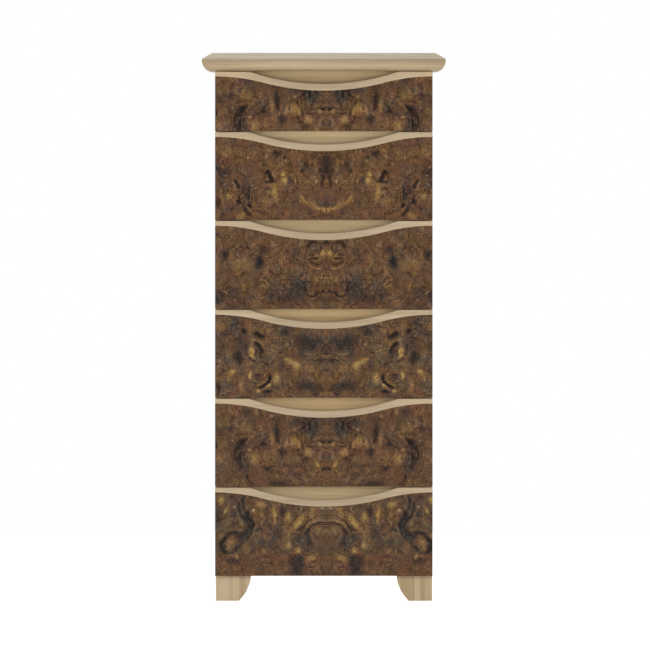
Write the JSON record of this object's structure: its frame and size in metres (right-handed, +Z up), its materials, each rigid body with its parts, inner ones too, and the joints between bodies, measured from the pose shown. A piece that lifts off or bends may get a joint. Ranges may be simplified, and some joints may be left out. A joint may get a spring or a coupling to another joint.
{
  "type": "chest of drawers",
  "caption": "Tall narrow free-standing chest with a stack of sliding drawers, burl-veneered fronts, curved pale grip lips and a moulded top.",
  "frame": {"origin": "on the floor, under the middle of the chest", "axes": "+Z up, -Y the side that the drawers open towards, +X to the right as seen from the front"},
  "size_m": [0.576, 0.45, 1.295],
  "materials": {
    "ash": "satin clear lacquer on pale ash",
    "burl_veneer": "satin lacquer on dark walnut burl veneer",
    "birch": "plain sanded birch",
    "plywood": "plain thin plywood"
  },
  "bodies": {
    "case": {"top_board": "ash", "side_panel_left": "ash", "side_panel_right": "ash", "bottom_panel": "ash", "back_panel": "plywood", "top_rail": "ash", "top_frame": "birch", "divider_rail_1": "ash", "divider_rail_2": "ash", "divider_rail_3": "ash", "divider_rail_4": "ash", "divider_rail_5": "ash", "runner_frame_1": "birch", "runner_frame_2": "birch", "runner_frame_3": "birch", "runner_frame_4": "birch", "runner_frame_5": "birch", "foot_front_left": "ash", "foot_front_right": "ash", "foot_back_left": "ash", "foot_back_right": "ash"},
    "drawer_1": {"drawer_1_front": "burl_veneer", "drawer_1_lip": "ash", "drawer_1_side_left": "birch", "drawer_1_side_right": "birch", "drawer_1_floor": "plywood", "drawer_1_back": "birch"},
    "drawer_2": {"drawer_2_front": "burl_veneer", "drawer_2_lip": "ash", "drawer_2_side_left": "birch", "drawer_2_side_right": "birch", "drawer_2_floor": "plywood", "drawer_2_back": "birch"},
    "drawer_3": {"drawer_3_front": "burl_veneer", "drawer_3_lip": "ash", "drawer_3_side_left": "birch", "drawer_3_side_right": "birch", "drawer_3_floor": "plywood", "drawer_3_back": "birch"},
    "drawer_4": {"drawer_4_front": "burl_veneer", "drawer_4_lip": "ash", "drawer_4_side_left": "birch", "drawer_4_side_right": "birch", "drawer_4_floor": "plywood", "drawer_4_back": "birch"},
    "drawer_5": {"drawer_5_front": "burl_veneer", "drawer_5_lip": "ash", "drawer_5_side_left": "birch", "drawer_5_side_right": "birch", "drawer_5_floor": "plywood", "drawer_5_back": "birch"},
    "drawer_6": {"drawer_6_front": "burl_veneer", "drawer_6_lip": "ash", "drawer_6_side_left": "birch", "drawer_6_side_right": "birch", "drawer_6_floor": "plywood", "drawer_6_back": "birch"}
  },
  "joints": [
    {"name": "drawer_1_slide", "type": "slide", "parent": "case", "child": "drawer_1", "axis": [0, -1, 0], "range_m": [0, 0.27]},
    {"name": "drawer_2_slide", "type": "slide", "parent": "case", "child": "drawer_2", "axis": [0, -1, 0], "range_m": [0, 0.27]},
    {"name": "drawer_3_slide", "type": "slide", "parent": "case", "child": "drawer_3", "axis": [0, -1, 0], "range_m": [0, 0.27]},
    {"name": "drawer_4_slide", "type": "slide", "parent": "case", "child": "drawer_4", "axis": [0, -1, 0], "range_m": [0, 0.27]},
    {"name": "drawer_5_slide", "type": "slide", "parent": "case", "child": "drawer_5", "axis": [0, -1, 0], "range_m": [0, 0.27]},
    {"name": "drawer_6_slide", "type": "slide", "parent": "case", "child": "drawer_6", "axis": [0, -1, 0], "range_m": [0, 0.27]}
  ]
}
